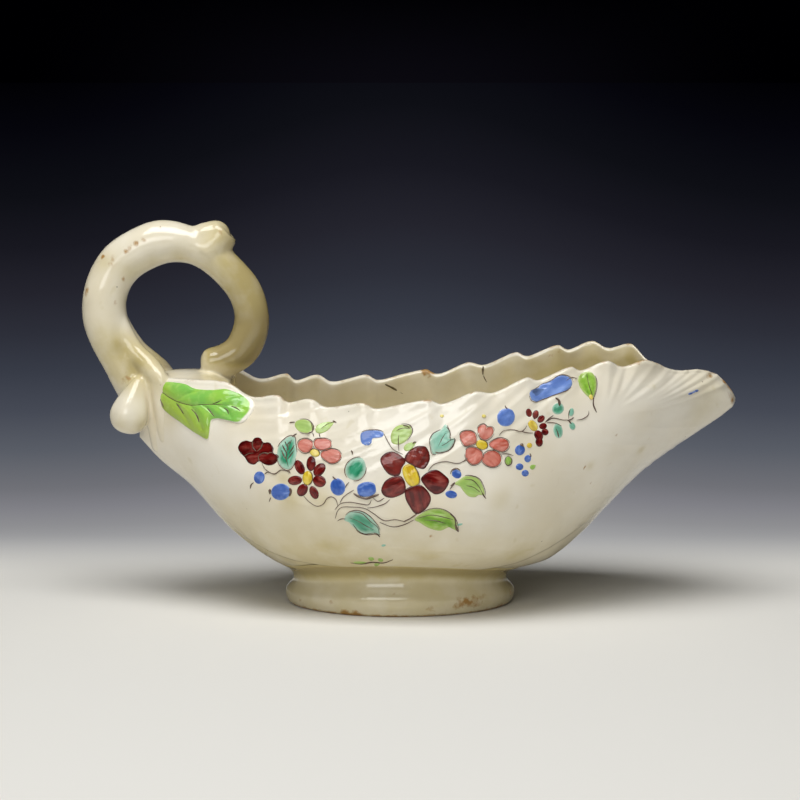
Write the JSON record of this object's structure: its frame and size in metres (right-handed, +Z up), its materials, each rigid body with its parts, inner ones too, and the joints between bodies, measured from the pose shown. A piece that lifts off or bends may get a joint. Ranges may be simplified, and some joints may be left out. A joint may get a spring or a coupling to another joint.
{
  "type": "sauceboat",
  "caption": "Leaf-moulded sauceboat with a scalloped rim, long pouring lip, oval foot ring and a looped twig handle with a knop, buds and leaf sprigs.",
  "frame": {"origin": "On the table plane, under the middle of the whole boat's length and width, handle and lip included.", "axes": "+X towards the pouring lip, +Z up, -Y the right side as seen from the handle."},
  "size_m": [0.1898, 0.086, 0.1122],
  "materials": {
    "cream_glaze": "Cream-bodied pottery under a glossy lead glaze that pools yellowish in hollows and wears brown at edges.",
    "enamel": "Translucent enamel painted over the glaze: yellow-green on the leaf sprigs, and the flower colours of the spray."
  },
  "bodies": {
    "root": {"shell_right": "cream_glaze", "shell_left": "cream_glaze", "foot_ring": "cream_glaze", "rim_bridge": "cream_glaze", "handle_stalk": "cream_glaze", "handle_knop": "cream_glaze", "side_twig_right": "cream_glaze", "side_twig_left": "cream_glaze", "bud_right": "cream_glaze", "bud_left": "cream_glaze", "leaf_sprig_right": "enamel", "leaf_sprig_left": "enamel"}
  },
  "joints": []
}
